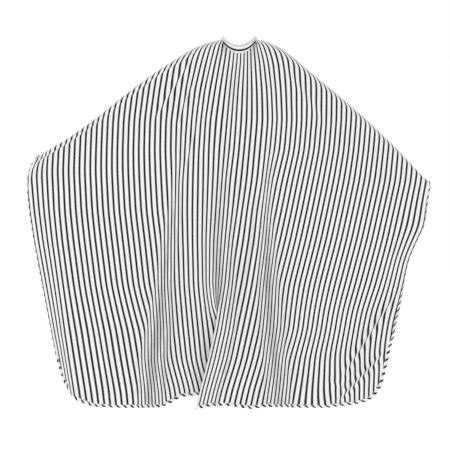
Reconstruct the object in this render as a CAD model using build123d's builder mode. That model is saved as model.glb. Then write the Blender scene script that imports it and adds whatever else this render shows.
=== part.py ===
"""Striped barber cape, worn: cloth panels, neckband with a snap closure at the nape, and edge binding.

Millimetres, +Z up, and the wearer faces -Y. Left and right are as seen from the front, so right is +X.
The origin is the centre of the neck opening, at the height of the sides of the neck.
"""

from build123d import *
import os
from math import cos, hypot, radians, sin

os.makedirs("parts", exist_ok=True)

# ---------------------------------------------------------------- driving dimensions

# Cloth. The cut panel is 1600 wide and 1475 long; here it hangs over two raised arms.
CLOTH = 2.4  # thickness of the cloth walls
HEM_Z = -1375.0
LEFT_HAND = (-796.0, -500.0)  # x, z of the cloth's side edge at the end of the arm
RIGHT_HAND = (716.0, -546.0)
LEFT_SIDE = (-697.0, -1132.0)  # where the side edge turns in towards the hem
RIGHT_SIDE = (575.0, -1110.0)
LEFT_HEM_X = -610.0
RIGHT_HEM_X = 540.0
HEM_CORNER_R = 150.0

# Horizontal sections of the draped cloth, from the neck down: height, left and right ends on the ridges
# along the arms, and how far the cloth stands in front of and behind the wearer's side plane.
DRAPE = [
    (-2.0, -78.0, 78.0, 67.0, 66.0),
    (-45.0, -187.0, 165.0, 68.0, 67.6),
    (-75.0, -240.0, 205.0, 71.0, 70.6),
    (-130.0, -322.0, 270.0, 90.0, 76.0),
    (-300.0, -537.0, 471.0, 106.0, 74.0),
    (-430.0, -735.0, 605.0, 112.0, 68.0),
    (-500.0, -800.0, 676.0, 114.0, 64.0),
    (-546.0, -800.0, 722.0, 115.0, 62.0),
    (-705.0, -800.0, 722.0, 116.0, 56.0),
    (HEM_Z - 10.0, -800.0, 722.0, 112.0, 50.0),
]

# Back flaps: the cloth's top corners, which hang behind the arms and fold along a line below them.
LEFT_CORNER = (-215.0, -672.0)
RIGHT_CORNER = (198.0, -688.0)
FLAP_TOP_X = 26.0  # half the space between the two flaps at the nape
FLAP_TOP_Z = -50.0
FOLD_GAP = 1.0  # clearance each side of the fold line
FLAP_TIP_INSET = 30.0  # how far short of the hand the flap's end stops

# Binding: a folded strip over the cloth's edge.
BINDING_WIDTH = 12.0
BINDING_WALL = 0.8

# Neckband.
NECK_R = 62.5  # inner face, against the neck
LAYER = 1.0  # thickness of each of the band's three layers
BAND_HEIGHT = 26.0
BAND_SIDE_Z = -3.0  # height of the band's middle at the sides of the neck
BAND_FRONT_Z = -56.0
BAND_BACK_Z = -30.0
BAND_REACH = 64.0  # distance from the neck's axis to the band's middle at front and back
INTERLINING_HEIGHT = 21.0
SEAM_GAP = 0.5  # between the band's lower edge and the cloth in front
NAPE_SEAM_GAP = 8.0  # and behind, where the tab swings over the cloth

# Closure. Angles are seen from above at the neck's axis, from the nape, positive towards +X.
BAND_END_ANGLE = -24.0  # where the two ends of the band meet under the tab
BAND_END_GAP = 1.0
TAB_START = -29.0
TAB_END = 52.0
TAB_R = 68.2  # inner face of the tab
TAB_HEIGHT = 22.0
TAB_INTERLINING_HEIGHT = 17.0
TAB_HEM = 3.0  # degrees of folded cloth past the tab's interlining
ROOT_START = -47.0
ROOT_GAP = 0.4  # degrees between the root strip and the tab
STUD_ANGLES = [22.0, 40.0]
SOCKET_ANGLES = [4.0, 22.0, 40.0, 58.0, 76.0]

# Snap fasteners.
SOCKET_R = 4.75
SOCKET_HEIGHT = 1.8
SOCKET_BORE_R = 2.3
SOCKET_FLOOR = 0.2
STUD_BASE_R = 4.2
STUD_BASE_HEIGHT = 0.6
STUD_R = 1.9
STUD_LENGTH = 1.5
CAP_R = 5.5
CAP_HEIGHT = 1.7
BACK_R = 4.5
BACK_HEIGHT = 1.2
RIM_R = 0.5  # rounding of the snap parts' rims
PRONG_R = 0.8
PRONG_CLEARANCE = 0.1
CURVE_CLEARANCE = 0.2  # keeps a flat disc off the hollow side of the curved band

FRONT = -1
BACK = 1
BAND_R = NECK_R + 3 * LAYER  # outer face of the band
TAB_OUTER_R = TAB_R + 3 * LAYER
STUD_SEAT_R = TAB_R - CURVE_CLEARANCE
REACH = 200.0  # more than the cape's depth, for cutting straight through it
TALL = 90.0  # more than the neckband's rise and fall
FAR = 900.0  # beyond the cape's width


# ---------------------------------------------------------------- shared shapes


def drape_wall(side, stand_off, thickness):
    """One wall of the draped cloth, in front or behind, from the neck to the hem."""
    with BuildPart() as wall:
        for z, left, right, front, back in DRAPE:
            inner_y = side * ((front if side == FRONT else back) - CLOTH + stand_off)
            outer_y = inner_y + side * thickness
            ridge_inner = side * stand_off
            ridge_outer = ridge_inner + side * thickness
            with BuildSketch(Plane.XY.offset(z)):
                with BuildLine():
                    inner = ThreePointArc((left, ridge_inner), (0, inner_y), (right, ridge_inner))
                    outer = ThreePointArc((left, ridge_outer), (0, outer_y), (right, ridge_outer))
                    Line(inner @ 0, outer @ 0)
                    Line(inner @ 1, outer @ 1)
                make_face()
        loft(ruled=True)
    return wall.part


def band_middle(y):
    """Height of the band's middle line: low in front and behind, highest at the sides of the neck."""
    tilt = (BAND_BACK_Z - BAND_FRONT_Z) / (2 * BAND_REACH)
    sag = BAND_SIDE_Z - (BAND_BACK_Z + BAND_FRONT_Z) / 2
    return BAND_SIDE_Z + tilt * y - sag * (y / BAND_REACH) ** 2


def band_strip(inner_r, thickness, height, start, end):
    """A strip of the neckband between two angles from the nape."""
    depths = [TALL * k / 4 for k in range(-4, 5)]
    with BuildPart() as strip:
        with BuildSketch(Plane.XY.offset(-2 * TALL)):
            with BuildLine():
                inner = CenterArc((0, 0), inner_r, 90 - end, end - start)
                outer = CenterArc((0, 0), inner_r + thickness, 90 - end, end - start)
                Line(inner @ 0, outer @ 0)
                Line(inner @ 1, outer @ 1)
            make_face()
        extrude(amount=4 * TALL)
        with BuildSketch(Plane.YZ):
            with BuildLine():
                top = Spline([(y, band_middle(y) + height / 2) for y in depths])
                bottom = Spline([(y, band_middle(y) - height / 2) for y in depths])
                Line(top @ 0, bottom @ 0)
                Line(top @ 1, bottom @ 1)
            make_face()
        extrude(amount=TALL, both=True, mode=Mode.INTERSECT)
    return strip.part


def neckline_prism(side, gap):
    """The space over the neck opening that the cloth is cut away from, seen from the front or behind."""
    angles = [radians(a) for a in range(-90, 91, 30)]
    reach = BAND_R + SEAM_GAP
    edge = [(reach * sin(a), band_middle(side * reach * cos(a)) - BAND_HEIGHT / 2 - gap) for a in angles]
    with BuildPart() as prism:
        with BuildSketch(Plane.XZ):
            with BuildLine():
                Spline(edge)
                Polyline(edge[-1], (reach, TALL), (-reach, TALL), edge[0])
            make_face()
        extrude(amount=-side * REACH)
    return prism.part


def outline_prism(points):
    """A region of the cape as seen from the front, cut straight through it."""
    with BuildPart() as prism:
        with BuildSketch(Plane.XZ):
            with BuildLine():
                Polyline(*points, close=True)
            make_face()
        extrude(amount=REACH, both=True)
    return prism.part


def front_prism(inset):
    """The front panel's region: its side edges and hem, moved in by an inset, with rounded corners."""
    with BuildPart() as prism:
        with BuildSketch(Plane.XZ) as region:
            with BuildLine():
                Polyline(
                    (-FAR, TALL),
                    (FAR, TALL),
                    (FAR, RIGHT_HAND[1]),
                    RIGHT_HAND,
                    RIGHT_SIDE,
                    (RIGHT_HEM_X, HEM_Z),
                    (LEFT_HEM_X, HEM_Z),
                    LEFT_SIDE,
                    LEFT_HAND,
                    (-FAR, LEFT_HAND[1]),
                    close=True,
                )
            make_face()
            fillet(region.vertices().group_by(Axis.Y)[0], radius=HEM_CORNER_R)
            if inset:
                offset(amount=-inset, kind=Kind.INTERSECTION, mode=Mode.REPLACE)
        extrude(amount=REACH, both=True)
    return prism.part


def fold_point(x, hand, up):
    """A point on the line that a flap folds along, moved up or down by a clearance."""
    top_x = FLAP_TOP_X if hand[0] > 0 else -FLAP_TOP_X
    along = (x - top_x) / (hand[0] - top_x)
    return (x, FLAP_TOP_Z + along * (hand[1] - FLAP_TOP_Z) + up)


def flap_outline(hand, corner, inset):
    """Corners of a back flap as seen from the front, with its two free edges moved in by an inset."""
    sign = 1 if hand[0] > 0 else -1
    tip_x = hand[0] - sign * (FLAP_TIP_INSET + 2 * inset)
    return [
        fold_point(sign * FLAP_TOP_X + sign * inset, hand, -FOLD_GAP),
        fold_point(tip_x, hand, -FOLD_GAP),
        (corner[0] + sign * inset, corner[1] + 1.3 * inset),
    ]


def shoulder_outline(hand):
    """Corners of the cloth between the ridge over an arm and the flap's fold line."""
    sign = 1 if hand[0] > 0 else -1
    tip_x = hand[0] - sign * FLAP_TIP_INSET / 2
    return [
        (sign * FLAP_TOP_X, TALL),
        fold_point(sign * FLAP_TOP_X, hand, FOLD_GAP),
        fold_point(tip_x, hand, FOLD_GAP),
        (sign * FAR, hand[1] + FOLD_GAP),
        (sign * FAR, TALL),
    ]


def band_place(angle, radius):
    """A place on the band at an angle from the nape, with its Z axis pointing away from the neck."""
    away = (sin(radians(angle)), cos(radians(angle)), 0)
    height = band_middle(BAND_REACH * away[1])
    return Location(Plane(origin=(radius * away[0], radius * away[1], height), x_dir=(0, 0, 1), z_dir=away))


def distance_from_neck_axis(edge):
    """Horizontal distance of a round edge's centre from the neck's axis."""
    return hypot(edge.arc_center.X, edge.arc_center.Y)


def finish(piece, name):
    """Labels a finished piece and writes it under its name."""
    piece.part.label = name
    export_step(piece.part, f"parts/{name}.step")


ON_SEAT = (Align.CENTER, Align.CENTER, Align.MIN)  # stands on its place, away from the neck
UNDER_SEAT = (Align.CENTER, Align.CENTER, Align.MAX)  # hangs from its place, towards the neck

# ---------------------------------------------------------------- cloth

front_wall = drape_wall(FRONT, 0, CLOTH)
back_wall = drape_wall(BACK, 0, CLOTH)
front_fold = drape_wall(FRONT, -BINDING_WALL, CLOTH + 2 * BINDING_WALL)
back_fold = drape_wall(BACK, -BINDING_WALL, CLOTH + 2 * BINDING_WALL)
front_neckline = neckline_prism(FRONT, SEAM_GAP)
nape_neckline = neckline_prism(BACK, NAPE_SEAM_GAP)
cut_edge = BINDING_WALL  # the cloth's edge stops inside the fold of the binding

with BuildPart() as front_panel:
    add(front_wall)
    add(front_prism(cut_edge), mode=Mode.INTERSECT)
    add(front_neckline, mode=Mode.SUBTRACT)
finish(front_panel, "front_panel")

with BuildPart() as front_binding:
    add(front_fold)
    add(front_prism(0), mode=Mode.INTERSECT)
    add(front_prism(BINDING_WIDTH), mode=Mode.SUBTRACT)
    add(front_panel.part, mode=Mode.SUBTRACT)
    split(bisect_by=Plane.XZ.offset(CLOTH / 2), keep=Keep.TOP)
finish(front_binding, "front_edge_binding")

for side_name, hand, corner in (("left", LEFT_HAND, LEFT_CORNER), ("right", RIGHT_HAND, RIGHT_CORNER)):
    with BuildPart() as shoulder:
        add(back_wall)
        add(outline_prism(shoulder_outline(hand)), mode=Mode.INTERSECT)
        add(nape_neckline, mode=Mode.SUBTRACT)
    finish(shoulder, f"{side_name}_shoulder_cloth")

    with BuildPart() as flap:
        add(back_wall)
        add(outline_prism(flap_outline(hand, corner, cut_edge)), mode=Mode.INTERSECT)
    finish(flap, f"{side_name}_back_flap")

    with BuildPart() as flap_binding:
        add(back_fold)
        add(outline_prism(flap_outline(hand, corner, 0)), mode=Mode.INTERSECT)
        add(outline_prism(flap_outline(hand, corner, BINDING_WIDTH)), mode=Mode.SUBTRACT)
        add(flap.part, mode=Mode.SUBTRACT)
    finish(flap_binding, f"{side_name}_flap_binding")

# ---------------------------------------------------------------- neckband

band_start = BAND_END_ANGLE + BAND_END_GAP
band_end = BAND_END_ANGLE + 360 - BAND_END_GAP
socket_places = [band_place(a, BAND_R) for a in SOCKET_ANGLES]
hole_r = PRONG_R + PRONG_CLEARANCE

with BuildPart() as neckband_lining:
    add(band_strip(NECK_R, LAYER, BAND_HEIGHT, band_start, band_end))
    with Locations(socket_places):
        Cylinder(hole_r, 4 * LAYER, align=UNDER_SEAT, mode=Mode.SUBTRACT)
finish(neckband_lining, "neckband_lining")

with BuildPart() as neckband_interlining:
    add(band_strip(NECK_R + LAYER, LAYER, INTERLINING_HEIGHT, band_start + 1, band_end - 1))
    with Locations(socket_places):
        Cylinder(hole_r, 4 * LAYER, align=UNDER_SEAT, mode=Mode.SUBTRACT)
finish(neckband_interlining, "neckband_interlining")

with BuildPart() as neckband_outer:
    add(band_strip(NECK_R + LAYER, 2 * LAYER, BAND_HEIGHT, band_start, band_end))
    add(
        band_strip(NECK_R + LAYER, LAYER, INTERLINING_HEIGHT, band_start + 1, band_end - 1),
        mode=Mode.SUBTRACT,
    )
    with Locations(socket_places):
        Cylinder(hole_r, 4 * LAYER, align=UNDER_SEAT, mode=Mode.SUBTRACT)
finish(neckband_outer, "neckband_outer")

# ---------------------------------------------------------------- closure tab

tab_root_end = TAB_START - ROOT_GAP
with BuildPart() as closure_patch:
    add(band_strip(BAND_R, TAB_R - BAND_R, TAB_HEIGHT, ROOT_START, BAND_END_ANGLE - 4 * BAND_END_GAP))
finish(closure_patch, "closure_patch")

with BuildPart() as tab_root:
    add(band_strip(TAB_R, 3 * LAYER, TAB_HEIGHT, ROOT_START, tab_root_end))
finish(tab_root, "tab_root")

tab_places = [band_place(a, TAB_OUTER_R) for a in STUD_ANGLES]

with BuildPart() as tab_lining:
    add(band_strip(TAB_R, LAYER, TAB_HEIGHT, TAB_START, TAB_END))
    with Locations(tab_places):
        Cylinder(hole_r, 4 * LAYER, align=UNDER_SEAT, mode=Mode.SUBTRACT)
finish(tab_lining, "tab_lining")

with BuildPart() as tab_interlining:
    add(band_strip(TAB_R + LAYER, LAYER, TAB_INTERLINING_HEIGHT, TAB_START + 1, TAB_END - TAB_HEM))
    with Locations(tab_places):
        Cylinder(hole_r, 4 * LAYER, align=UNDER_SEAT, mode=Mode.SUBTRACT)
finish(tab_interlining, "tab_interlining")

with BuildPart() as tab_outer:
    add(band_strip(TAB_R + LAYER, 2 * LAYER, TAB_HEIGHT, TAB_START, TAB_END))
    add(
        band_strip(TAB_R + LAYER, LAYER, TAB_INTERLINING_HEIGHT, TAB_START + 1, TAB_END - TAB_HEM),
        mode=Mode.SUBTRACT,
    )
    with Locations(tab_places):
        Cylinder(hole_r, 4 * LAYER, align=UNDER_SEAT, mode=Mode.SUBTRACT)
finish(tab_outer, "tab_outer")

# ---------------------------------------------------------------- snap fasteners

with BuildPart() as snap_sockets:
    with Locations(socket_places):
        Cylinder(SOCKET_R, SOCKET_HEIGHT, align=ON_SEAT)
    mouth_r = BAND_R + SOCKET_HEIGHT
    rims = snap_sockets.edges().filter_by(GeomType.CIRCLE)
    fillet(rims.filter_by(lambda e: distance_from_neck_axis(e) > mouth_r - RIM_R), radius=RIM_R)
    with Locations([band_place(a, mouth_r) for a in SOCKET_ANGLES]):
        Hole(SOCKET_BORE_R, depth=SOCKET_HEIGHT - SOCKET_FLOOR)
finish(snap_sockets, "snap_sockets")

back_seat_r = NECK_R - CURVE_CLEARANCE
with BuildPart() as snap_backs:
    with Locations([band_place(a, back_seat_r) for a in SOCKET_ANGLES]):
        Cylinder(BACK_R, BACK_HEIGHT, align=UNDER_SEAT)
    rims = snap_backs.edges().filter_by(GeomType.CIRCLE)
    fillet(rims.filter_by(lambda e: distance_from_neck_axis(e) < back_seat_r - RIM_R), radius=RIM_R)
    with Locations([band_place(a, back_seat_r) for a in SOCKET_ANGLES]):
        Cylinder(PRONG_R, BAND_R - back_seat_r, align=ON_SEAT)
finish(snap_backs, "snap_backs")

with BuildPart() as snap_studs:
    with Locations([band_place(a, STUD_SEAT_R) for a in STUD_ANGLES]):
        Cylinder(STUD_BASE_R, STUD_BASE_HEIGHT, align=UNDER_SEAT)
    with Locations([band_place(a, STUD_SEAT_R - STUD_BASE_HEIGHT) for a in STUD_ANGLES]):
        Cylinder(STUD_R, STUD_LENGTH, align=UNDER_SEAT)
finish(snap_studs, "snap_studs")

with BuildPart() as snap_caps:
    with Locations(tab_places):
        Cylinder(CAP_R, CAP_HEIGHT, align=ON_SEAT)
    rims = snap_caps.edges().filter_by(GeomType.CIRCLE)
    fillet(rims.filter_by(lambda e: distance_from_neck_axis(e) > TAB_OUTER_R + RIM_R), radius=2 * RIM_R)
    with Locations(tab_places):
        Cylinder(PRONG_R, TAB_OUTER_R - STUD_SEAT_R, align=UNDER_SEAT)
finish(snap_caps, "snap_caps")
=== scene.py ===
"""Striped barber cape worn over raised arms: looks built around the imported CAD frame.

Cloth shapes are worked out in millimetres and written to Blender in metres. Left and right are as seen
from the front. A place in the cloth is given by its flat pattern: u across the stripes, v along them.
"""

import math

import bpy
import numpy as np
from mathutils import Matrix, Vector


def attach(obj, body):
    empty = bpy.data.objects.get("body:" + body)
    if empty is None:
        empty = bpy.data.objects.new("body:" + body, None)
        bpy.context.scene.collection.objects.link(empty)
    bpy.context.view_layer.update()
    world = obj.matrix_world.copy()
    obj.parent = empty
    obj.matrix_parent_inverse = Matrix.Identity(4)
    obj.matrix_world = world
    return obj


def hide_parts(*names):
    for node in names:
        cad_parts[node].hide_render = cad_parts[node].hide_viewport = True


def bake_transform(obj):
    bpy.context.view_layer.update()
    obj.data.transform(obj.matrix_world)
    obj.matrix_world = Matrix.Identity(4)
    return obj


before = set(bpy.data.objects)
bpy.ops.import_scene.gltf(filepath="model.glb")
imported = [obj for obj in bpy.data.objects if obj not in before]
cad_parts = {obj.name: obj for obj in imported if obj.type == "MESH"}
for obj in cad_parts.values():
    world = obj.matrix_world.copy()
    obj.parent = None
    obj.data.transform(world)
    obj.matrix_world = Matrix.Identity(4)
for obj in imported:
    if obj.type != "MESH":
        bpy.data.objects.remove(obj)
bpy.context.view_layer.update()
rng = np.random.default_rng(7)

# ---------------------------------------------------------------- camera

CAM_X, CAM_Z = -52.5, -701.0
CAM_DIST = 4000.0
VIEW_WIDTH = 1687.5  # what the camera's frame spans at the wearer's side plane
SENSOR = 36.0

camera_data = bpy.data.cameras.new("camera")
camera_data.sensor_width = SENSOR
camera_data.lens = SENSOR * CAM_DIST / VIEW_WIDTH
camera = bpy.data.objects.new("camera", camera_data)
camera.location = (CAM_X / 1000, -CAM_DIST / 1000, CAM_Z / 1000)
camera.rotation_euler = (math.radians(90), 0, 0)
bpy.context.collection.objects.link(camera)
bpy.context.scene.camera = camera
bpy.context.scene.view_settings.view_transform = "Standard"

# ---------------------------------------------------------------- the cape's flat pattern and its drape

PITCH = 19.7  # between two pinstripes
LINE = 7.5  # width of a pinstripe
HALF_WIDTH = 800.0
NECK_CUT = 104.0  # half the width of the neck cut-out
TOP_EDGE = 75.0  # the cloth's top edge, above the sides of the neck
THICKNESS = 0.8

RING_R = 66.2  # where the cloth meets the neckband
RING_TURN = 5.0  # degrees from the middle stripe to the middle of the neckband's front, about the neck
BAND_HEIGHT = 26.0
SEAM_LAP = 4.0
SEAM_LAP_SIDES = 6.0

# Where each fold lies on the way down, as (height, stripe number from the middle, x) in millimetres.
# Most heights and many x were picked from stripe positions that another script read from the picture and
# were only changed to millimetres, so this table isn't worked out from driving dimensions, as it should be.
FOLDS = {
    "left_edge": [(160, -40, -762), (-440, -40, -764), (-475, -40, -789), (-512, -40, -799),
                  (-645, -40, -786), (-757, -40, -769), (-1095, -40, -705), (-1320, -40, -661),
                  (-1450, -40, -636)],
    "left_side": [(160, -36, -682), (-82, -36, -694), (-307, -36, -710), (-500, -36, -721),
                  (-645, -36, -714), (-757, -36, -703), (-1095, -36, -656), (-1320, -36, -622),
                  (-1450, -36, -602)],
    "left_fold_outside": [(160, -11, -95), (0, -11, -150), (-82, -11, -176), (-195, -12, -217),
                          (-307, -12, -234), (-420, -12.2, -240), (-532, -13, -251), (-645, -14, -265),
                          (-757, -16, -292), (-926, -18, -315), (-1095, -22, -352), (-1207, -24, -377),
                          (-1320, -25, -378), (-1450, -26, -390)],
    "left_fold_inside": [(160, -9, -48), (0, -9, -112), (-82, -9, -139), (-195, -10, -184),
                         (-307, -10, -195), (-420, -8.5, -178), (-532, -10, -212), (-645, -10, -214),
                         (-757, -11, -229), (-926, -12.5, -250), (-1095, -13, -246), (-1207, -15, -270),
                         (-1320, -17, -277), (-1450, -18, -282)],
    "lap_back": [(160, -5, -20), (0, -5, -52), (-82, -5, -69), (-195, -5, -90), (-307, -5, -108),
                 (-420, -5, -114), (-532, -6, -134), (-645, -6, -136), (-757, -6, -138), (-926, -6, -135),
                 (-1095, -6, -116), (-1207, -8, -142), (-1320, -11, -167), (-1450, -13, -190)],
    "lap_inside": [(160, -2.5, -30), (-82, -2.5, -32), (-420, -2.5, -64), (-757, -3, -95),
                   (-926, -3, -99), (-1010, -3, -88), (-1095, -3, -50), (-1207, -3.5, -58),
                   (-1320, -5, -56), (-1450, -6, -66)],
    "lap_front": [(160, 0, 6), (-82, 0, 6), (-195, 0, -4), (-307, 0, -11), (-420, 0, -19), (-532, 0, -34),
                  (-645, 0, -42), (-757, 0, -52), (-926, 0, -66), (-1095, 0, -95), (-1207, 0, -121),
                  (-1320, 0, -150), (-1450, 0, -180)],
    "lap_outside": [(160, 3, 43), (-82, 3, 45), (-195, 3, 48), (-307, 3, 48), (-420, 3, 38),
                    (-532, 2.5, 18), (-645, 2, -7), (-757, 2, -24), (-926, 4, -12), (-1095, 6, -8),
                    (-1207, 6, -31), (-1320, 6, -66), (-1450, 6, -96)],
    "right_fold_inside": [(160, 6, 20), (0, 6, 68), (-82, 6, 92), (-195, 6, 105), (-307, 6, 109),
                          (-420, 6, 99), (-532, 6, 88), (-645, 7, 87), (-757, 7, 76), (-926, 8, 68),
                          (-1095, 10, 76), (-1207, 12, 90), (-1320, 14, 98), (-1450, 15, 92)],
    "right_fold_outside": [(160, 8, 40), (0, 8, 97), (-82, 8, 126), (-195, 8, 138), (-307, 8, 143),
                           (-420, 8, 133), (-532, 9, 124), (-645, 10, 121), (-757, 12, 135),
                           (-926, 15, 150), (-1095, 17, 169), (-1207, 19.5, 180), (-1320, 21.5, 198),
                           (-1450, 23, 206)],
    "corner_fold": [(160, 35, 681), (-532, 35, 625), (-757, 35, 575), (-926, 35, 530), (-1030, 36, 513),
                    (-1095, 35, 482), (-1181, 33, 434), (-1255, 31, 400), (-1320, 29, 362),
                    (-1390, 27, 328), (-1450, 26, 308)],
    "right_edge": [(160, 40, 775), (-82, 40, 752), (-307, 40, 740), (-420, 40, 732), (-532, 40, 722),
                   (-607, 40, 708), (-707, 40, 694), (-765, 40, 664), (-834, 40, 634), (-913, 40, 618),
                   (-986, 40, 600), (-1060, 40, 579), (-1151, 40, 565), (-1245, 40, 561),
                   (-1320, 40, 558), (-1450, 40, 555)],
}
FOLD_NAMES = list(FOLDS)

# Outline of the shoulders and arms as (x, z), and of the hem as (stripe number, z). These and the outline
# widths further down hold positions in the picture, changed to millimetres.
RIDGE = [(-797, -512), (-790, -482), (-769, -450), (-731, -427), (-637, -369), (-532, -296), (-427, -210),
         (-322, -130), (-253, -85), (-180, -42), (-121, -20), (-66, -6), (66, -6), (118, -20), (165, -45),
         (218, -85), (270, -130), (375, -217), (480, -308), (587, -411), (686, -516), (718, -545)]
HEM = [(-40.6, -1150), (-40, -1215), (-39.2, -1290), (-37, -1342), (-35, -1366), (-33, -1382), (-28, -1386),
       (-20, -1385), (-18, -1383), (-16, -1368), (-14, -1346), (-11, -1339), (-8, -1343), (-5, -1352),
       (-3, -1362), (-1, -1384), (0, -1391), (2, -1388), (4, -1380), (8, -1378), (12, -1391), (15, -1383),
       (19, -1384), (27, -1386), (32, -1376), (34.5, -1368), (36, -1360), (37, -1345), (38.4, -1318),
       (39.2, -1270), (39.7, -1215), (40.1, -1180), (40.6, -1120)]

# How far the cloth stands in front of and behind the wearer's side plane, by height.
DEPTH_Z = [20, -2, -45, -75, -130, -300, -430, -705, -1400]
DEPTH_FRONT = [66, 67, 68, 70, 78, 86, 88, 86, 80]
DEPTH_BACK = [64, 66, 68, 71, 74, 72, 66, 55, 50]
# Radius of the cloth over the shoulders and arms, by x.
ARM_X = [-800, -350, -80, 80, 300, 500, 716]
ARM_R = [16, 24, 56, 58, 56, 44, 16]
ARM_FLATTEN = 0.45  # the turn is this much lower than it is deep
TURN = np.linspace(0, math.pi / 2, 91)
TURN_SPEED = np.hypot(ARM_FLATTEN * np.sin(TURN), np.cos(TURN))
TURN_ARC = np.concatenate([[0], np.cumsum((TURN_SPEED[1:] + TURN_SPEED[:-1]) / 2)]) * TURN[1]
TURN_EXTRA = TURN_ARC[-1] - ARM_FLATTEN  # cloth that the turn takes up beyond its own height

LEFT_RISE = 0.776  # how far the arm's line falls along the stripes for each unit across them
RIGHT_RISE = 0.672

# Creases of the front as (x, z, x, z, height, width): pulls from the neck, and the turned hem corner.
CREASES = [
    (-165, -60, -318, -305, 11, 12), (-180, -175, -232, -320, 8, 10), (-160, -320, -198, -480, 7, 9),
    (150, -80, 330, -330, 5, 24), (-95, -60, -150, -250, 5, 12),
    (590, -955, 388, -1270, 15, 10), (545, -1180, 370, -1362, 15, 10),
    (-560, -980, -470, -1340, 5, 30), (-700, -600, -640, -1100, 5, 34), (330, -1285, 420, -1320, 5, 14),
]
WRINKLES = 26
PULL = 0.7  # how far a crease pulls the stripes aside, as a share of its height


def smooth_curve(points, at, softness):
    """Values of a line through points, rounded at its corners over a distance."""
    xs, ys = np.array(sorted(points), float).T
    at = np.asarray(at, float)
    total = np.zeros_like(at)
    taps = np.linspace(-1, 1, 9)
    weights = np.cos(taps * math.pi / 2 * 0.95) ** 2
    for tap, weight in zip(taps, weights):
        x = at + tap * softness
        inner = np.interp(x, xs, ys)
        low = ys[0] + (x - xs[0]) * (ys[1] - ys[0]) / (xs[1] - xs[0])
        high = ys[-1] + (x - xs[-1]) * (ys[-1] - ys[-2]) / (xs[-1] - xs[-2])
        total += weight * np.where(x < xs[0], low, np.where(x > xs[-1], high, inner))
    return total / weights.sum()


Z_GRID = np.arange(-1480.0, 161.0, 4.0)
FOLD_STRIPE = np.array([smooth_curve([(z, n) for z, n, x in FOLDS[f]], Z_GRID, 45) for f in FOLD_NAMES])
FOLD_X = np.array([smooth_curve([(z, x) for z, n, x in FOLDS[f]], Z_GRID, 45) for f in FOLD_NAMES])
U_GRID = np.linspace(-HALF_WIDTH, HALF_WIDTH, 401)


def fold_fraction(stripe, first, last, z_index):
    """How far across one fold each stripe is, from 0 to 1, at one height."""
    a, b = FOLD_STRIPE[FOLD_NAMES.index(first), z_index], FOLD_STRIPE[FOLD_NAMES.index(last), z_index]
    return np.clip((stripe - a) / (b - a), 0, 1), a, b


def zigzag(t):
    """A wave with rounded tops: 0 at whole numbers and 1 half-way between them."""
    wave = 1 - 2 * np.abs((t % 1) - 0.5)
    return 0.5 * wave + 0.5 * np.sin(math.pi * (t % 1)) ** 2


def fold_height(first, last, count, z_index):
    """Depth of the pleats that take up the cloth of one fold."""
    i, j = FOLD_NAMES.index(first), FOLD_NAMES.index(last)
    cloth = (FOLD_STRIPE[j, z_index] - FOLD_STRIPE[i, z_index]) * PITCH
    width = abs(FOLD_X[j, z_index] - FOLD_X[i, z_index])
    return math.sqrt(max(cloth * cloth - width * width, 0)) / (2 * count)


SURFACE_X = np.zeros((len(Z_GRID), len(U_GRID)))
RELIEF = np.zeros_like(SURFACE_X)  # forward of the smooth drape
stripes = U_GRID / PITCH
stripe_step = U_GRID[1] - U_GRID[0]
LAP_TOP, LAP_FULL = -960.0, -1090.0

for k, z in enumerate(Z_GRID):
    ends = FOLD_STRIPE[:, k]
    order = np.argsort(ends)
    row = np.interp(stripes, ends[order], FOLD_X[order, k])
    roll = np.zeros(len(stripes))
    # The edges roll back out of sight, except at the hem's corners, where they lie flat.
    for edge, sign, low, high in ((0, -1, -1300, -1150), (-1, 1, -1020, -900)):
        beyond = np.maximum(sign * (stripes - ends[edge]), 0) * PITCH
        rolled = np.clip((z - low) / (high - low), 0, 1)
        row = row + sign * beyond * (1 - 0.9 * rolled)
        roll = roll - beyond * rolled
    SURFACE_X[k] = row
    lap = np.clip((LAP_TOP - z) / (LAP_TOP - LAP_FULL), 0, 1)
    lap = lap * lap * (3 - 2 * lap)
    relief = np.zeros(len(U_GRID))
    for first, last, count, share in (
        ("left_fold_outside", "left_fold_inside", 2, 1.0),
        ("lap_back", "lap_outside", 2, 1 - lap),
        ("lap_front", "lap_outside", 1, 0.8 * lap),
        ("right_fold_inside", "right_fold_outside", 2, 1.0),
    ):
        t, a, b = fold_fraction(stripes, first, last, k)
        height = min(fold_height(first, last, count, k), 34.0)
        relief += share * height * zigzag(t * count) * (t > 0) * (t < 1)
    # The lap: the cloth passes behind the front edge, comes back, and turns forward over itself.
    back, inside = ends[FOLD_NAMES.index("lap_back")], ends[FOLD_NAMES.index("lap_inside")]
    front, outside = ends[FOLD_NAMES.index("lap_front")], ends[FOLD_NAMES.index("lap_outside")]
    knots = [back - 3, back, inside, front, outside, outside + 3]
    relief += lap * np.interp(stripes, knots, [0, -12, -14, 22, 4, 0])
    RELIEF[k] = relief + roll


def blur_rows(grid, cells):
    """Averages a grid along its rows, keeping their ends."""
    kernel = np.hanning(2 * cells + 3)[1:-1]
    kernel /= kernel.sum()
    padded = np.pad(grid, ((0, 0), (cells, cells)), mode="reflect", reflect_type="odd")
    return np.array([np.convolve(row, kernel, "valid") for row in padded])


SURFACE_X = blur_rows(SURFACE_X, 3)
RELIEF = blur_rows(RELIEF, 2)


def on_grid(grid, z, u):
    """Bilinear value of a grid at a height and a place across the cloth."""
    r = np.clip((z - Z_GRID[0]) / (Z_GRID[1] - Z_GRID[0]), 0, len(Z_GRID) - 1.001)
    c = np.clip((u - U_GRID[0]) / stripe_step, 0, len(U_GRID) - 1.001)
    i, j = r.astype(int), c.astype(int)
    a, b = r - i, c - j
    return ((1 - a) * (1 - b) * grid[i, j] + (1 - a) * b * grid[i, j + 1]
            + a * (1 - b) * grid[i + 1, j] + a * b * grid[i + 1, j + 1])


def ridge_z(x):
    return smooth_curve(RIDGE, x, 14)


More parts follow.
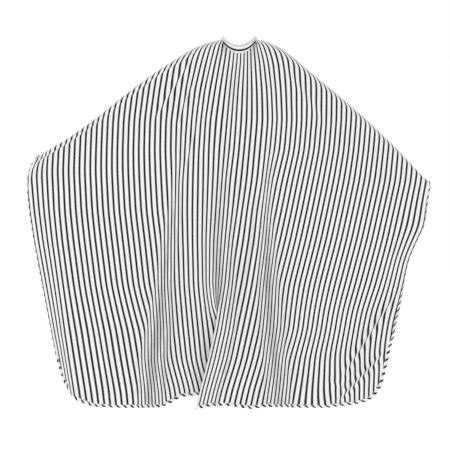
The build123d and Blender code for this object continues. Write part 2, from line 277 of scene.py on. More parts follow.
def ridge_slope(x):
    return (ridge_z(x + 12) - ridge_z(x - 12)) / 24


def arm_radius(x):
    return np.interp(x, ARM_X, ARM_R)


OUT_Z = np.array([-1400, -1384, -1342, -1237, -1132, -607, -540, -500, -482, -450, -427, -369, -296, -210,
                  -130, -85, -42, -20, -2, 60], float)
OUT_LEFT = np.array([520, 540, 604, 656, 697, 791, 797, 797, 790, 769, 731, 637, 532, 427, 322, 253, 180, 121,
                     72, 72], float)
OUT_RIGHT = np.array([470, 480, 520, 552, 575, 705, 718, 670, 652, 622, 600, 545, 467, 366, 270, 218, 162,
                      118, 72, 72], float)


def drape_depth(x, z, depths):
    """The smooth drape's distance from the side plane, which falls to nothing at the outline."""
    reach = np.where(x < 0, np.interp(z, OUT_Z, OUT_LEFT), np.interp(z, OUT_Z, OUT_RIGHT))
    deep = np.interp(z, DEPTH_Z[::-1], depths[::-1])
    return deep * np.clip(1 - (x / reach) ** 2, 0, 1)


def rounded(radius, drape):
    """Joins the turn over an arm to the drape below it."""
    return (np.maximum(radius, 0) ** 3 + np.maximum(drape, 0) ** 3) ** (1 / 3)


def band_middle(y):
    """Height of the neckband's middle line at a distance behind the side plane."""
    return -3 + 0.203125 * y - 40 * (y / 64) ** 2


def seam_z(y):
    """Height of the cloth's edge, which laps over the neckband's lower edge in front and at the sides."""
    round_neck = (y / RING_R) ** 2
    lap = SEAM_LAP * np.where(y < 0, round_neck, 0) + SEAM_LAP_SIDES * (1 - round_neck) ** 2
    return band_middle(y) - BAND_HEIGHT / 2 + lap


def seen_from(place):
    """Where the side plane has the point that the camera sees at a place."""
    scale = CAM_DIST / (CAM_DIST + place[..., 1])
    seen = place.copy()
    seen[..., 0] = CAM_X + (place[..., 0] - CAM_X) * scale
    seen[..., 2] = CAM_Z + (place[..., 2] - CAM_Z) * scale
    return seen


def true_place(seen):
    """The place that the camera sees at a point of the side plane, moved to its own depth."""
    scale = (CAM_DIST + seen[..., 1]) / CAM_DIST
    place = seen.copy()
    place[..., 0] = CAM_X + (seen[..., 0] - CAM_X) * scale
    place[..., 2] = CAM_Z + (seen[..., 2] - CAM_Z) * scale
    return place


def bump_line(x, z, crease):
    """Height of one crease between two places of the front, and how far it pulls the stripes aside."""
    x0, z0, x1, z1, height, width = crease
    run = math.hypot(x1 - x0, z1 - z0)
    along = ((x - x0) * (x1 - x0) + (z - z0) * (z1 - z0)) / run ** 2
    away = ((x - x0) * (z1 - z0) - (z - z0) * (x1 - x0)) / run
    bell = np.exp(-(away / width) ** 2) * np.sqrt(np.sin(math.pi * np.clip(along, 0, 1)))
    return height * bell, PULL * height * (away / width) * bell


waves = rng.uniform(size=(WRINKLES, 4))


def wrinkles(u, v):
    """Small uneven ripples of the cloth, longer down the stripes than across them."""
    total = np.zeros(np.broadcast(u, v).shape)
    for across, down, phase, size in waves:
        turns = u / (45 + 140 * across) + v / (180 + 420 * down) + phase
        total += (0.4 + size) * np.sin(2 * math.pi * turns)
    return total / math.sqrt(WRINKLES)


STEP = 4.0
STEPS = 400
RIPPLE = 1.6  # height of the small ripples
SEARCH_TOP = 150.0  # a height above every stripe's start
SEARCH_STEP = 2.0
SEARCH_STEPS = 400
NECK_SHIFT_FADE = 70.0  # over what length the stripes leave the neck's ring
SETTLE = 120.0  # how far down the folds reach their full depth
HAND_Z = -560.0  # below the hands the turn over the arm gets thinner
HAND_FADE = 250.0
HAND_THINNING = 0.7
# A worn fold along the left arm: how far below the ridge it is, its size, and how it shifts the stripes.
ARM_FOLD_AT = 17.0
ARM_FOLD_WIDTH = 5.0
ARM_FOLD_HEIGHT = 2.5
ARM_FOLD_STEP = 7.0
ARM_FOLD_EDGE = 1.5
ARM_FOLD_X = -110.0
ARM_FOLD_X_FADE = 60.0


def march_front(u):
    """Follows each stripe from the neck or the arm down the front, and gives its places."""
    on_neck = np.abs(u) <= NECK_CUT
    angle = np.arcsin(np.clip(u / NECK_CUT, -1, 1))
    turned_angle = angle + math.radians(RING_TURN)
    ring_x, ring_y = RING_R * np.sin(turned_angle), -RING_R * np.cos(turned_angle)
    ring = seen_from(np.stack([ring_x, ring_y, seam_z(ring_y)], 1))
    ring_x, ring_z = ring[:, 0], ring[:, 2]
    # On the arms the stripe starts a little above the ridge, by what the turn over the arm takes up.
    z = np.full(len(u), SEARCH_TOP)
    for _ in range(SEARCH_STEPS):
        x = on_grid(SURFACE_X, z, u)
        slope = ridge_slope(x)
        rise = (ridge_z(x) - z) / np.sqrt(1 + slope ** 2)
        z = np.where(rise < -TURN_EXTRA * arm_radius(x), z - SEARCH_STEP, z)
    z = np.where(on_neck, ring_z, z)
    shift = np.where(on_neck, ring_x - on_grid(SURFACE_X, z, u), 0.0)
    start_depth = np.where(on_neck, -ring_y, 0.0)
    places = []
    length = np.zeros(len(u))
    for _ in range(STEPS):
        x = on_grid(SURFACE_X, z, u) + shift * np.exp(-length / NECK_SHIFT_FADE)
        slope = ridge_slope(x)
        flat = np.sqrt(1 + slope ** 2)
        rise = (ridge_z(x) - z) / flat
        radius = arm_radius(x)
        arc = np.where(on_neck, length, rise + TURN_EXTRA * radius)
        phase = np.interp(arc / radius, TURN_ARC, TURN)
        turned_down = radius * ARM_FLATTEN * (1 - np.cos(phase))
        lowered = np.where(arc < radius * TURN_ARC[-1], turned_down, arc - TURN_EXTRA * radius)
        move = np.where(on_neck, 0, lowered - rise)
        seen_x, seen_z = x + move * slope / flat, z - move / flat
        below_hand = np.clip((HAND_Z - seen_z) / HAND_FADE, 0, 1)
        edge_radius = radius * (1 - HAND_THINNING * below_hand)
        drape = drape_depth(seen_x, seen_z, DEPTH_FRONT)
        around = rounded(edge_radius * np.sin(phase), drape * np.minimum(1, phase))
        target = np.maximum(rounded(radius * np.sin(angle) ** 2, drape), start_depth)
        turned = np.clip(length / radius, 0, math.pi / 2)
        inner = start_depth + (target - start_depth) * np.sin(turned)
        depth = np.where(on_neck, inner, around)
        settle = np.clip(length / SETTLE, 0, 1)
        relief = on_grid(RELIEF, z, u) + RIPPLE * wrinkles(u, -length)
        aside = 0
        for crease in CREASES:
            rise_here, pull = bump_line(seen_x, seen_z, crease)
            relief = relief + rise_here
            aside = aside + pull
        below = lowered - ARM_FOLD_AT
        on_arm = np.where(on_neck, 0, np.clip((ARM_FOLD_X - seen_x) / ARM_FOLD_X_FADE, 0, 1))
        uneven = 0.7 + 0.3 * np.sin(seen_x / 61)
        relief = relief + on_arm * ARM_FOLD_HEIGHT * np.exp(-(below / ARM_FOLD_WIDTH) ** 2)
        past_fold = 1 + np.exp(np.clip(below / ARM_FOLD_EDGE, -30, 30))
        aside = aside + on_arm * ARM_FOLD_STEP * uneven / past_fold
        seen_x = seen_x + aside
        y = -depth - settle * relief
        places.append(np.stack([seen_x, y, seen_z], 1))
        # Next step: less height is lost where the stripe moves forward.
        forward = np.where(on_neck, (target - start_depth) / radius * np.cos(turned), 0)
        lean = (on_grid(SURFACE_X, z - 4, u) - on_grid(SURFACE_X, z + 4, u)) / 8
        drop = STEP * np.sqrt(np.clip(1 - forward ** 2, 0.05, 1)) / np.sqrt(1 + lean ** 2)
        z = z - drop
        length = length + STEP
    return np.array(places)


COLUMNS = 225
ROWS = 170
# Stripes and rows are closer together where the hem's corner and the arms are creased.
spread_u = np.interp(np.linspace(0, 1, COLUMNS - 2), [0, 0.73, 1], [-HALF_WIDTH, 460, HALF_WIDTH])
columns_u = np.sort(np.concatenate([spread_u, [-NECK_CUT, NECK_CUT]]))
ROW_SHARE = np.interp(np.linspace(0, 1, ROWS), [0, 0.13, 0.55, 1], [0, 0.05, 0.62, 1])
track = march_front(columns_u)
hem_z = smooth_curve(HEM, columns_u / PITCH, 0.8)


def resample(column):
    """One stripe from its start to the hem, at the rows' shares of its length."""
    zs = track[:, column, 2]
    past = np.nonzero(zs <= hem_z[column])[0]
    end = past[0] if len(past) else len(zs) - 1
    before = max(end - 1, 0)
    share = (zs[before] - hem_z[column]) / max(zs[before] - zs[end], 1e-6)
    total = (before + share) * STEP
    at = total * ROW_SHARE / STEP
    i = np.minimum(at.astype(int), STEPS - 2)
    f = (at - i)[:, None]
    return track[i, column] * (1 - f) + track[i + 1, column] * f, at * STEP


front = np.zeros((ROWS, COLUMNS, 3))
front_v = np.zeros((ROWS, COLUMNS))
for c in range(COLUMNS):
    front[:, c], lengths = resample(c)
    u = columns_u[c]
    if abs(u) <= NECK_CUT:
        start_v = -math.sqrt(NECK_CUT ** 2 - u ** 2)
    else:
        start_v = -(LEFT_RISE if u < 0 else RIGHT_RISE) * (abs(u) - NECK_CUT)
    front_v[:, c] = start_v - lengths


BAND_CLEAR_Z = 110.0  # the cloth is kept outside the band's ring from here up
BAND_CLEAR_FADE = 40.0


def clear_of_band(places):
    """Moves the cloth near the neck out of the neckband, to the ring where it is sewn on."""
    near = np.clip((places[..., 2] + BAND_CLEAR_Z) / BAND_CLEAR_FADE, 0, 1)
    radius = np.hypot(places[..., 0], places[..., 1])
    grow = np.maximum(RING_R * near / np.maximum(radius, 1), 1)
    moved = places.copy()
    moved[..., :2] *= grow[..., None]
    return moved


front = clear_of_band(true_place(front))

# ---------------------------------------------------------------- the cloth behind the arms

BACK_ROWS = 110
NAPE = {-1: np.array([-26.0, -46.0]), 1: np.array([26.0, -46.0])}  # x, z of the flaps' top corners
CORNER = {-1: np.array([-215.0, -672.0]), 1: np.array([198.0, -688.0])}  # and of their free corners
NAPE_ANGLE = 22.0  # how near the nape the seam under the band reaches, in degrees
NECK_BLEND = 60.0
BACK_FOLD = 7.0  # depth of the soft folds behind
BACK_FOLD_WIDTH = 118.0
BACK_SETTLE = 160.0  # how far from the arm those folds are full
BACK_TURN_EXTRA = 0.571  # cloth that a round turn takes up beyond its own depth, as a share of its radius


def back_column(index, side):
    """One stripe from the ridge over the arm to the cloth's top edge, which hangs behind."""
    u = columns_u[index]
    beyond = abs(u) - NECK_CUT
    start = front[0, index, [0, 2]]
    share = beyond / (HALF_WIDTH - NECK_CUT)
    end = NAPE[side] * (1 - share) + CORNER[side] * share
    length = TOP_EDGE + (LEFT_RISE if side < 0 else RIGHT_RISE) * beyond
    s = np.linspace(0, length, BACK_ROWS)
    slope = float(ridge_slope(start[0]))
    along = np.array([-side, -side * slope]) / math.hypot(1, slope)
    down = np.array([along[1] * -side, along[0] * side])
    down = down if down[1] < 0 else -down
    reach = end - start
    share_along, share_down = reach @ along, reach @ down
    span = math.hypot(share_along, share_down)
    share_along, share_down = share_along / span, share_down / span
    radius = float(arm_radius(start[0]))
    lowered = s * share_down
    phase = np.clip(lowered / radius, 0, math.pi / 2)
    beyond_turn = lowered - BACK_TURN_EXTRA * radius
    fall = np.where(lowered < radius * math.pi / 2, radius * (1 - np.cos(phase)), beyond_turn)
    path = start + np.outer(s * share_along, along) + np.outer(fall, down)
    path = path + np.outer(s / length, end - path[-1])
    x, z = path[:, 0], path[:, 1]
    deep = rounded(radius * np.sin(phase), drape_depth(x, z, DEPTH_BACK) * np.minimum(1, phase))
    settled = np.clip(s / BACK_SETTLE, 0, 1) * np.clip((np.hypot(x, z) - 120) / 200, 0, 1)
    deep = deep + settled * (BACK_FOLD * np.sin(2 * math.pi * (x / BACK_FOLD_WIDTH + z / 900 + 0.2 * side))
                             + RIPPLE * wrinkles(u, s))
    place = np.stack([x, deep, z], 1)
    from_nape = 90 - side * RING_TURN
    turn = np.radians(from_nape - (from_nape - NAPE_ANGLE) * s / length)
    ring = np.stack([side * RING_R * np.sin(turn), RING_R * np.cos(turn), np.zeros(BACK_ROWS)], 1)
    ring[:, 2] = seam_z(ring[:, 1])
    place[0] = front[0, index]
    t = (s / length)[:, None]
    ring = ring + (place[0] - ring[0]) * (1 - t) + (place[-1] - ring[-1]) * t * min(beyond / NECK_BLEND, 1)
    near = math.exp(-beyond / NECK_BLEND)
    place = clear_of_band(place * (1 - near) + ring * near)
    return place, -length + TOP_EDGE + s


back = {}
for side in (-1, 1):
    chosen = np.nonzero(side * columns_u >= NECK_CUT - 1e-6)[0]
    made = [back_column(i, side) for i in chosen]
    back[side] = (columns_u[chosen], np.stack([m[0] for m in made], 1), np.stack([m[1] for m in made], 1))


# ---------------------------------------------------------------- meshes


class Cloth:
    """A sheet given by a grid of places, with its flat pattern."""

    def __init__(self, us, grid, vs, outward):
        self.us, self.grid, self.vs, self.outward = us, grid, vs, outward
        self.shares = (vs[:, 0] - vs[0, 0]) / (vs[-1, 0] - vs[0, 0])
        down = np.gradient(grid, axis=0)
        across = np.gradient(grid, axis=1)
        normal = np.cross(down, across) * outward
        self.normals = normal / np.maximum(np.linalg.norm(normal, axis=2, keepdims=True), 1e-9)

    def at(self, u, v):
        """Places and normals at points of the flat pattern."""
        rows = self.grid.shape[0]
        column = np.interp(u, self.us, np.arange(len(self.us)))
        first = np.minimum(column.astype(int), len(self.us) - 2)
        place, normal = 0, 0
        for c, weight in ((first, 1 - (column - first)), (first + 1, column - first)):
            top, bottom = self.vs[0, c], self.vs[-1, c]
            share = (v - top) / (bottom - top)
            row = np.interp(share, self.shares, np.arange(rows))
            # A little outside the cloth the rows go on at the spacing they have at its edge.
            row = row + np.clip(share, -0.1, 0) / self.shares[1]
            row = row + np.clip(share - 1, 0, 0.1) / (1 - self.shares[-2])
            r = np.clip(row.astype(int), 0, rows - 2)
            f = (row - r)[:, None]
            place = place + weight[:, None] * (self.grid[r, c] * (1 - f) + self.grid[r + 1, c] * f)
            normal = normal + weight[:, None] * (self.normals[r, c] * (1 - f) + self.normals[r + 1, c] * f)
        return place, normal / np.linalg.norm(normal, axis=1, keepdims=True)


def make_piece(name, places, faces, uvs, materials, face_materials=None):
    """A mesh piece from places in millimetres, with a flat pattern in metres as its UV map."""
    mesh = bpy.data.meshes.new(name)
    mesh.from_pydata((np.asarray(places) / 1000).tolist(), [], faces)
    layer = mesh.uv_layers.new(name="flat")
    corners = np.zeros(len(mesh.loops), np.int32)
    mesh.loops.foreach_get("vertex_index", corners)
    layer.data.foreach_set("uv", (np.asarray(uvs)[corners] / 1000).astype(np.float32).ravel())
    mesh.polygons.foreach_set("use_smooth", [True] * len(mesh.polygons))
    for material in materials:
        mesh.materials.append(material)
    if face_materials is not None:
        mesh.polygons.foreach_set("material_index", np.asarray(face_materials, np.int32))
    mesh.update()
    piece = bpy.data.objects.new(name, mesh)
    bpy.context.collection.objects.link(piece)
    return piece


def grid_faces(rows, cols, start=0, flip=False, closed=False):
    """Faces of a grid of vertices, optionally joined round its columns."""
    faces = []
    for r in range(rows - 1):
        for c in range(cols if closed else cols - 1):
            d = (c + 1) % cols
            this, below = start + r * cols, start + (r + 1) * cols
            q = (this + c, this + d, below + d, below + c)
            faces.append(q[::-1] if flip else q)
    return faces


def sheet_piece(name, cloth, materials):
    """A thin two-sided sheet: its face, its reverse and the cut edge between them."""
    rows, cols = cloth.grid.shape[:2]
    face = (cloth.grid + cloth.normals * THICKNESS / 2).reshape(-1, 3)
    reverse = (cloth.grid - cloth.normals * THICKNESS / 2).reshape(-1, 3)
    u = np.tile(cloth.us, (rows, 1))
    uv = np.stack([u.ravel(), cloth.vs.ravel()], 1)
    faces = grid_faces(rows, cols, flip=cloth.outward > 0)
    count = len(faces)
    faces += grid_faces(rows, cols, start=rows * cols, flip=cloth.outward < 0)
    edge = list(range(cols))
    edge += [r * cols + cols - 1 for r in range(1, rows)]
    edge += [(rows - 1) * cols + c for c in range(cols - 2, -1, -1)]
    edge += [r * cols for r in range(rows - 2, 0, -1)]
    shift = rows * cols
    for a, b in zip(edge, edge[1:] + edge[:1]):
        q = (a, b, b + shift, a + shift)
        faces.append(q if cloth.outward > 0 else q[::-1])
    indices = [0] * count + [1] * count + [0] * (len(faces) - 2 * count)
    return make_piece(name, np.vstack([face, reverse]), faces, np.vstack([uv, uv]), materials, indices)


# Section of the folded binding: distance in from the cloth's edge, and stand-off from its middle.
BINDING_WIDTH = 12.0
BINDING_SECTION = [(12.0, 0.45), (11.8, 0.95), (9.5, 1.05), (6, 1.3), (2.5, 1.25), (0.4, 1.1), (-0.7, 0.6),
                   (-0.95, 0), (-0.7, -0.6), (0.4, -1.1), (2.5, -1.25), (6, -1.3), (9.5, -1.05),
                   (11.8, -0.95), (12.0, -0.45)]
PUCKER = 0.22  # how unevenly the binding stands off, as a share


def binding_strip(cloth, path, inward, start=0, lift=1.0):
    """Vertices, faces and UVs of a binding folded over an edge that is given in the flat pattern."""
    edge, _ = cloth.at(path[:, 0], path[:, 1])
    inner, _ = cloth.at(*(path + inward).T)
    inward = inward / np.clip(np.linalg.norm(edge - inner, axis=1, keepdims=True), 0.5, 6)
    out = edge - inner
    out /= np.maximum(np.linalg.norm(out, axis=1, keepdims=True), 1e-9)
    s = np.concatenate([[0], np.cumsum(np.linalg.norm(np.diff(edge, axis=0), axis=1))])
    pucker = 1 + PUCKER * (np.sin(s / 5.1) * np.sin(s / 17.3 + 1) + 0.5 * np.sin(s / 2.7 + 2))
    section = np.array(BINDING_SECTION)
    wrap = np.concatenate([[0], np.cumsum(np.hypot(*np.diff(section, axis=0).T))])
    places, uvs = [], []
    for (depth, height), across in zip(section, wrap):
        base, normal = cloth.at(*(path + inward * max(depth, 0)).T)
        base = base + out * max(-depth, 0)
        raised = height * lift * (pucker[:, None] if 0 < depth < BINDING_WIDTH else 1)
        places.append(base + normal * raised)
        uvs.append(np.stack([s, np.full(len(s), across)], 1))
    places, uvs = np.stack(places, 1), np.stack(uvs, 1)
    rows, cols = places.shape[:2]
    return places.reshape(-1, 3), grid_faces(rows, cols, start), uvs.reshape(-1, 2)


def flat_inward(path, towards):
    """Unit directions in the flat pattern, square to a path and pointing to one side of it."""
    run = np.gradient(path, axis=0)
    run /= np.maximum(np.linalg.norm(run, axis=1, keepdims=True), 1e-9)
    for _ in range(2):
        run[1:-1] = (run[:-2] + 2 * run[1:-1] + run[2:]) / 4
    run /= np.maximum(np.linalg.norm(run, axis=1, keepdims=True), 1e-9)
    return np.stack([run[:, 1], -run[:, 0]], 1) * towards


def divided(path, step):
    """A path with points at even distances."""
    s = np.concatenate([[0], np.cumsum(np.linalg.norm(np.diff(path, axis=0), axis=1))])
    at = np.linspace(0, s[-1], int(s[-1] / step) + 1)
    return np.stack([np.interp(at, s, path[:, 0]), np.interp(at, s, path[:, 1])], 1)


# ---------------------------------------------------------------- materials


class Surface:
    """A material with a Principled shader, and short ways to add its nodes."""

    def __init__(self, name, uv="flat"):
        self.material = bpy.data.materials.new(name)
        self.material.use_nodes = True
        self.tree = self.material.node_tree
        self.shader = self.tree.nodes["Principled BSDF"]
        self.uv = uv
        if uv:
            place = self.tree.nodes.new("ShaderNodeUVMap")
            place.uv_map = uv
            self.place = place.outputs[0]
        else:
            self.place = self.tree.nodes.new("ShaderNodeTexCoord").outputs["Object"]
        split = self.tree.nodes.new("ShaderNodeSeparateXYZ")
        self.link(self.place, split.inputs[0])
        self.u, self.v = split.outputs[0], split.outputs[1]

    def link(self, a, b):
        self.tree.links.new(a, b)

    def math(self, operation, *values):
        node = self.tree.nodes.new("ShaderNodeMath")
        node.operation = operation
        for socket, value in zip(node.inputs, values):
            if isinstance(value, (int, float)):
                socket.default_value = value
            else:
                self.link(value, socket)
        return node.outputs[0]

    def noise(self, scale, detail=2.0, stretch=(1, 1, 1)):
        mapping = self.tree.nodes.new("ShaderNodeMapping")
        mapping.inputs["Scale"].default_value = stretch
        self.link(self.place, mapping.inputs["Vector"])
        node = self.tree.nodes.new("ShaderNodeTexNoise")
        node.inputs["Scale"].default_value = scale
        node.inputs["Detail"].default_value = detail
        self.link(mapping.outputs[0], node.inputs["Vector"])
        return node.outputs["Fac"]

    def mix(self, share, first, second):
        node = self.tree.nodes.new("ShaderNodeMix")
        node.data_type = "RGBA"
        self.link(share, node.inputs["Factor"])
        for socket, value in ((node.inputs[6], first), (node.inputs[7], second)):
            if isinstance(value, tuple):
                socket.default_value = (*value, 1)
            else:
                self.link(value, socket)
        return node.outputs[2]

    def spread(self, value, low, high):
        node = self.tree.nodes.new("ShaderNodeMapRange")
        self.link(value, node.inputs["Value"])
        node.inputs["To Min"].default_value = low
        node.inputs["To Max"].default_value = high
        return node.outputs["Result"]

    def line(self, value, pitch, width, edge):
        """1 on lines of one width at one pitch, 0 between them, with a soft edge."""
        turn = self.math("FRACT", self.math("ADD", self.math("DIVIDE", value, pitch), 0.5))
        away = self.math("ABSOLUTE", self.math("SUBTRACT", turn, 0.5))
        node = self.tree.nodes.new("ShaderNodeMapRange")
        node.interpolation_type = "SMOOTHSTEP"
        self.link(away, node.inputs["Value"])
        node.inputs["From Min"].default_value = (width / 2 - edge) / pitch
        node.inputs["From Max"].default_value = (width / 2 + edge) / pitch
        node.inputs["To Min"].default_value = 1
        node.inputs["To Max"].default_value = 0
        return node.outputs["Result"]

    def weave(self, pitch):
        """Height of a plain weave: threads that pass over and under each other."""
        turn = 2 * math.pi / pitch
        warp = self.math("SINE", self.math("MULTIPLY", self.u, turn))
        weft = self.math("SINE", self.math("MULTIPLY", self.v, turn))
        return self.math("MULTIPLY", warp, weft)

    def bump(self, height, strength, distance, below=None):
        node = self.tree.nodes.new("ShaderNodeBump")
        node.inputs["Strength"].default_value = strength
        node.inputs["Distance"].default_value = distance
        self.link(height, node.inputs["Height"])
        if below is not None:
            self.link(below, node.inputs["Normal"])
        return node.outputs[0]


WHITE = (0.80, 0.808, 0.815)
SHADED_WHITE = (0.735, 0.745, 0.755)
INK = (0.004, 0.0045, 0.005)
WORN_INK = (0.014, 0.015, 0.017)
THREAD = (0.80, 0.80, 0.80)
WEAVE_PITCH = 0.0009
CREASE_PITCH = 0.31  # between the faint lines left by folding the cape for its packet
STITCH = 0.003


def cloth_surface(name, ink, worn_ink, pattern, stitches=()):
    """Polyester cloth with a printed pattern: weave, faint wear, creases and rows of stitches."""
    s = Surface(name)
    patch = s.noise(9.0, 3.0)
    white = s.mix(s.spread(patch, 0.0, 0.55), WHITE, SHADED_WHITE)
    fleck = s.noise(900.0, 1.0, (1, 0.3, 1))
    black = s.mix(s.spread(fleck, -0.4, 1.4), ink, worn_ink)
    color = s.mix(pattern(s), white, black)
    normal = s.bump(s.noise(38.0, 3.0, (1, 0.35, 1)), 0.25, 0.0012)
    crease = s.math("MULTIPLY", s.line(s.v, CREASE_PITCH, 0.004, 0.0015), s.spread(s.noise(4.0), -0.2, 1.2))
    normal = s.bump(crease, 0.5, 0.0008, normal)
    weave = s.weave(WEAVE_PITCH)
    normal = s.bump(weave, 0.35, 0.00012, normal)
    for across in stitches:
        row = s.math("LESS_THAN", s.math("ABSOLUTE", s.math("SUBTRACT", s.v, across)), 0.00045)
        dash = s.line(s.u, STITCH, 0.0022, 0.0002)
        sewn = s.math("MULTIPLY", row, dash)
        color = s.mix(sewn, color, THREAD)
        normal = s.bump(sewn, 0.6, 0.0004, normal)
    s.link(color, s.shader.inputs["Base Color"])
    s.link(normal, s.shader.inputs["Normal"])
    s.link(s.spread(s.math("ADD", patch, s.math("MULTIPLY", weave, 0.15)), 0.62, 0.82),
           s.shader.inputs["Roughness"])
    s.shader.inputs["Sheen Weight"].default_value = 0.06
    s.shader.inputs["Sheen Roughness"].default_value = 0.4
    s.shader.inputs["Specular IOR Level"].default_value = 0.25
    return s.material


def pinstripes(s):
    return s.line(s.u, PITCH / 1000, LINE / 1000, 0.0003)


def slanted_marks(s):
    """The binding is cut on the bias, so the stripes cross it at 45 degrees."""
    return s.line(s.math("SUBTRACT", s.u, s.v), PITCH * math.sqrt(2) / 1000, 1.4 * LINE / 1000, 0.0004)


def one_line(s):
    """A band cut along the stripes, with one of them along its middle."""
    return s.line(s.v, 1.0, LINE / 1000, 0.0003)


def plain(s):
    """No stripes that can be seen: the one line there is, is far too thin."""
    return s.line(s.u, 1000.0, 0.000001, 0.0000001)


striped = cloth_surface("striped_cloth", INK, WORN_INK, pinstripes)
reverse = cloth_surface("striped_cloth_reverse", (0.16, 0.16, 0.165), (0.24, 0.24, 0.245), pinstripes)
binding = cloth_surface("bias_binding", INK, WORN_INK, slanted_marks, (0.0022, 0.0236))
band_face = cloth_surface("band_cloth", INK, WORN_INK, one_line, (-0.0105, 0.0105))
tab_face = cloth_surface("tab_cloth", INK, WORN_INK, one_line, (-0.0088, 0.0088))
lining = cloth_surface("lining_cloth", THREAD, THREAD, plain, (-0.0105, 0.0105))


def metal_surface():
    """Nickel-plated steel with fine scratches and slight tarnish."""
    s = Surface("snap_metal", uv=None)
    stain = s.noise(180.0, 4.0)
    color = s.mix(s.spread(stain, -0.2, 1.2), (0.66, 0.65, 0.63), (0.42, 0.41, 0.40))
    s.link(color, s.shader.inputs["Base Color"])
    s.link(s.spread(s.noise(420.0, 3.0, (1, 1, 6)), 0.16, 0.42), s.shader.inputs["Roughness"])
    s.link(s.bump(s.noise(1500.0, 2.0, (1, 1, 8)), 0.15, 0.0001), s.shader.inputs["Normal"])
    s.shader.inputs["Metallic"].default_value = 1.0
    return s.material


# ---------------------------------------------------------------- cape cloth

pair = [striped, reverse]
front_cloth = Cloth(columns_u, front, front_v, 1)
front_piece = sheet_piece("cape_cloth_front", front_cloth, pair)
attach(front_piece, "cape")
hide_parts("front_panel")

EDGE_STEP = 4.0
rim = np.vstack([
    np.stack([np.full(ROWS, -HALF_WIDTH), front_v[:, 0]], 1),
    np.stack([columns_u[1:-1], front_v[-1, 1:-1]], 1),
    np.stack([np.full(ROWS, HALF_WIDTH), front_v[::-1, -1]], 1),
])
rim = divided(rim, EDGE_STEP)
parts = binding_strip(front_cloth, rim, flat_inward(rim, -1))
front_binding = make_piece("edge_binding_front", *parts, [binding])
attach(front_binding, "cape")
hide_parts("front_edge_binding")

for side, side_name in ((-1, "left"), (1, "right")):
    us, grid, vs = back[side]
    cloth = Cloth(us, grid, vs, -1)
    piece = sheet_piece(f"cape_cloth_back_{side_name}", cloth, pair)
    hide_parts(f"{side_name}_shoulder_cloth", f"{side_name}_back_flap")
    outer = 0 if side < 0 else -1
    side_edge = divided(np.stack([np.full(BACK_ROWS, us[outer]), vs[:, outer]], 1), EDGE_STEP)
    top_us = us if side < 0 else us[::-1]
    top_edge = divided(np.stack([top_us, np.full(len(us), TOP_EDGE)], 1), EDGE_STEP)
    places, faces, uvs = binding_strip(cloth, side_edge, flat_inward(side_edge, -side))
    more = binding_strip(cloth, top_edge, flat_inward(top_edge, -side), start=len(places), lift=1.18)
    edge = make_piece(f"edge_binding_back_{side_name}", np.vstack([places, more[0]]), faces + more[1],
                      np.vstack([uvs, more[2]]), [binding])
    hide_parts(f"{side_name}_flap_binding")
    for part in (piece, edge):
        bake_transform(part)

# ---------------------------------------------------------------- neckband and closure tab

BAND_STEP = 1.2  # degrees between sections of the band
ROUND = 0.35  # how far the edges of a band layer are rounded in
PINCH = 0.22  # how deep the stitches pull into it


def line_height(y):
    """Height of the band's middle line, which runs flatter below the throat."""
    sag = 40 * np.abs(y / 64) ** np.where(y < 0, 1.6, 2.0)
    return -3 + 0.203125 * y - sag


def band_piece(name, inner_r, outer_r, height, start, end, stitch_rows, material):
    """One layer of a band: a strip round the neck with rounded edges, pulled in along its stitches."""
    half = height / 2
    levels = np.array([-half, -half + ROUND, -half + 2, -half + 4, -half / 2, 0, half / 2, half - 4, half - 2,
                       half - ROUND, half])
    pull = sum(np.exp(-((levels - row) / 1.2) ** 2) for row in stitch_rows) if stitch_rows else 0 * levels
    rounding = np.where(np.abs(levels) > half - 0.01, ROUND, 0)
    outer = outer_r - rounding - PINCH * pull
    inner = inner_r + rounding
    radii = np.concatenate([outer, inner[::-1]])
    heights = np.concatenate([levels, levels[::-1]])
    angles = np.radians(np.linspace(start, end, int(abs(end - start) / BAND_STEP) + 2))
    places, uvs = [], []
    middle_r = (inner_r + outer_r) / 2
    for k, angle in enumerate(angles):
        uneven = 1 + 0.25 * math.sin(k * 1.9) * math.sin(k * 0.37)
        x, y = math.sin(angle), math.cos(angle)
        r = np.where(radii > middle_r, middle_r + (radii - middle_r) * (0.94 + 0.06 * uneven), radii)
        lift = line_height(middle_r * y)
        places.append(np.stack([r * x, r * y, lift + heights], 1))
        uvs.append(np.stack([np.full(len(radii), angle * middle_r), heights], 1))
    count = len(radii)
    faces = grid_faces(len(angles), count, closed=True)
    for k, flip in ((0, False), (len(angles) - 1, True)):
        cap = tuple(k * count + i for i in range(count))
        faces.append(cap[::-1] if not flip else cap)
    return make_piece(name, np.vstack(places), faces, np.vstack(uvs), [material])


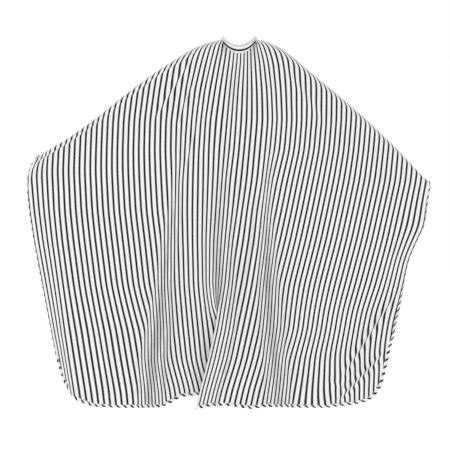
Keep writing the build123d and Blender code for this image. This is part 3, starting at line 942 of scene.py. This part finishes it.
BAND_ROWS = (-10.5, 10.5)
TAB_ROWS = (-8.8, 8.8)
BANDS = [
    # name, inner and outer radius, height, start and end angle, stitches, material, body, replaced, slot
    ("neckband_cover", 63.5, 65.5, 26, -23, 335, BAND_ROWS, band_face, "cape",
     ("neckband_outer", "neckband_interlining"), "striped_cloth"),
    ("neckband_inside", 62.5, 63.48, 26, -23, 335, BAND_ROWS, lining, "cape", ("neckband_lining",),
     "lining_cloth"),
    ("tab_patch", 65.55, 68.15, 22, -47, -28, TAB_ROWS, lining, "cape", ("closure_patch",), "lining_cloth"),
    ("tab_fixed_end", 68.2, 71.2, 22, -47, -29.4, TAB_ROWS, tab_face, "cape", ("tab_root",), "striped_cloth"),
    ("tab_cover", 69.2, 71.2, 22, -29, 52, TAB_ROWS, tab_face, "closure_tab",
     ("tab_outer", "tab_interlining"), "striped_cloth"),
    ("tab_inside", 68.2, 69.18, 22, -29, 52, TAB_ROWS, lining, "closure_tab", ("tab_lining",),
     "lining_cloth"),
]
for name, inner_r, outer_r, height, start, end, rows, material, body, replaced, slot in BANDS:
    piece = band_piece(name, inner_r, outer_r, height, start, end, rows, material)
    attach(piece, body)
    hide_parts(*replaced)

metal = metal_surface()
for node in ("snap_sockets", "snap_backs", "snap_studs", "snap_caps"):
    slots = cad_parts[node].data.materials
    for k in range(max(len(slots), 1)):
        if len(slots) > k:
            slots[k] = metal
        else:
            slots.append(metal)

# ---------------------------------------------------------------- studio

FLOOR_Z = -1.55
FLOOR_REACH = 14.0
floor = make_piece("floor", np.array([(-1, -1, 0), (1, -1, 0), (1, 1, 0), (-1, 1, 0)]) * FLOOR_REACH * 1000
                   + [0, 0, FLOOR_Z * 1000], [(0, 1, 2, 3)], np.zeros((4, 2)), [])
paint = Surface("floor_paint")
floor_color = paint.mix(paint.noise(0.6), (0.9, 0.9, 0.9), (0.88, 0.88, 0.88))
paint.link(floor_color, paint.shader.inputs["Base Color"])
paint.shader.inputs["Roughness"].default_value = 0.9
paint.shader.inputs["Emission Color"].default_value = (1, 1, 1, 1)
paint.shader.inputs["Emission Strength"].default_value = 0.3
floor.data.materials.append(paint.material)

world = bpy.data.worlds.new("studio")
world.use_nodes = True
world.node_tree.nodes["Background"].inputs[0].default_value = (1, 1, 1, 1)
world.node_tree.nodes["Background"].inputs[1].default_value = 1.0
bpy.context.scene.world = world

# name, place, size, power
LIGHTS = [
    ("key", (-2.6, -3.6, 1.6), 2.0, 15),
    ("fill", (3.2, -3.4, 0.4), 2.6, 1.5),
    ("back", (0.6, 3.6, 1.5), 2.4, 10),
]
for name, place, size, power in LIGHTS:
    data = bpy.data.lights.new(name, "AREA")
    data.size, data.energy = size, power
    light = bpy.data.objects.new(name, data)
    light.location = place
    light.rotation_euler = (Vector((0, 0, -0.7)) - Vector(place)).to_track_quat("-Z", "Y").to_euler()
    bpy.context.collection.objects.link(light)
